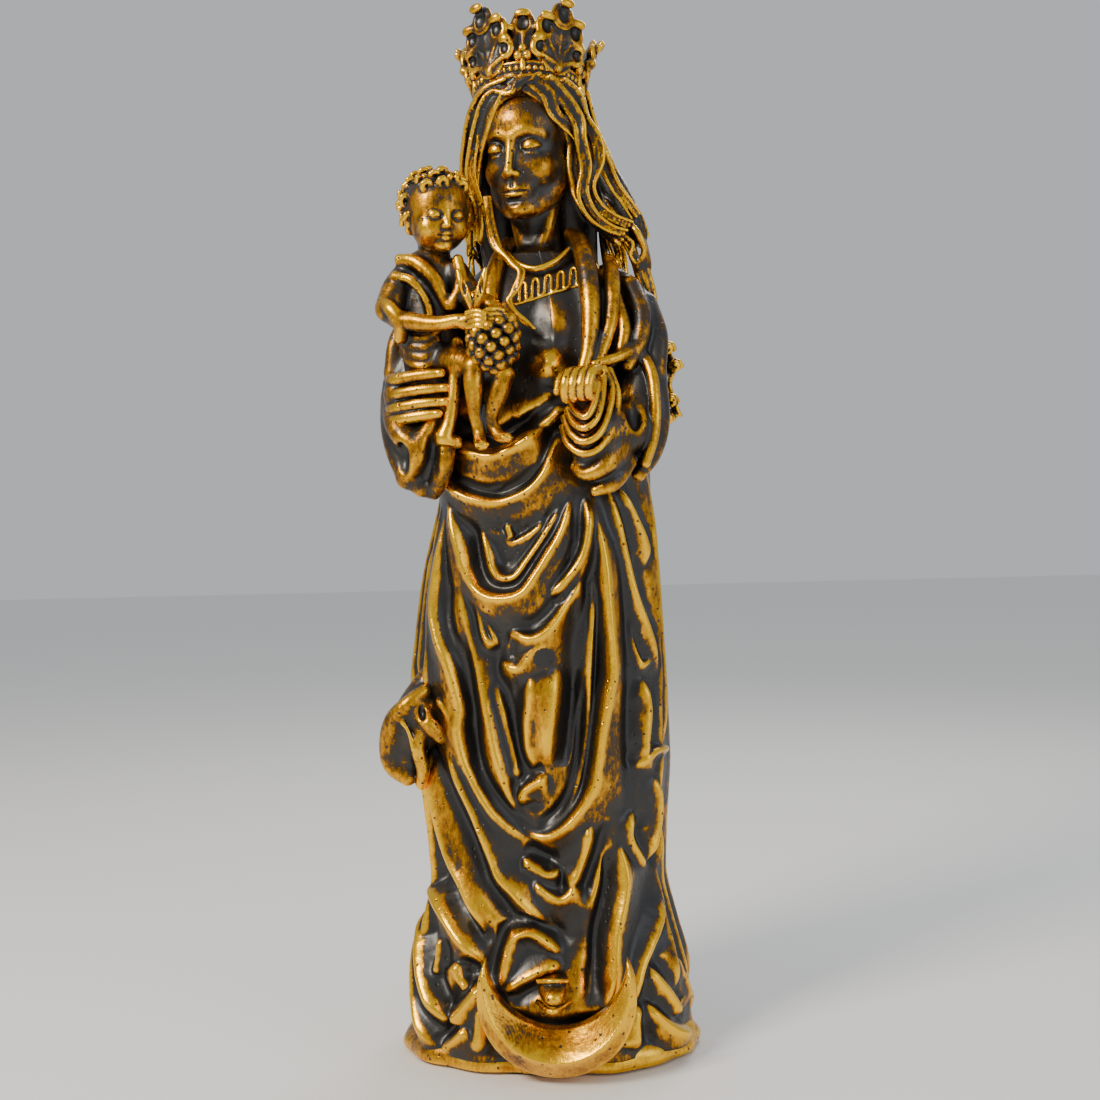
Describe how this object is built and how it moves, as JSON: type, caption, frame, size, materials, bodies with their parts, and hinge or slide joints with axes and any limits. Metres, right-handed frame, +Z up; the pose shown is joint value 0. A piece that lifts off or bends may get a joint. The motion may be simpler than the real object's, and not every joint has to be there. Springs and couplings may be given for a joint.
{
  "type": "madonna statue",
  "caption": "Standing Madonna in a long folded robe and leafy crown, holding a child with a bunch of grapes, a crescent moon at her feet; rests upright on a flat felted plinth.",
  "frame": {"origin": "centre of the plinth's flat underside, on the floor plane", "axes": "+Z up along the figure's height; -Y is the front she faces; +X is the viewer's right"},
  "size_m": [0.166, 0.1283, 0.5909],
  "materials": {
    "gilt_casting": "filled resin casting, painted black, gold rubbed over the raised parts, lacquered",
    "steel": "plain drawn steel",
    "beech": "plain turned beech",
    "board": "plain hardboard",
    "felt": "pressed wool felt"
  },
  "bodies": {
    "root": {"felt_pad": "felt", "base_board": "board", "board_screws": "steel", "plinth": "gilt_casting", "armature_rod": "steel", "front_shell": "gilt_casting", "back_shell": "gilt_casting", "mantle_corner": "gilt_casting", "hair_lock": "gilt_casting", "head": "gilt_casting", "crown": "gilt_casting", "crown_pins": "steel", "child": "gilt_casting", "child_dowels": "beech", "grape_bunch": "gilt_casting", "grape_pin": "steel", "right_sleeve": "gilt_casting", "right_sleeve_dowel": "beech", "right_hand": "gilt_casting", "right_hand_pin": "steel", "left_sleeve": "gilt_casting", "left_sleeve_dowel": "beech", "left_hand": "gilt_casting", "left_hand_pin": "steel", "moon": "gilt_casting", "moon_pins": "steel"}
  },
  "joints": []
}
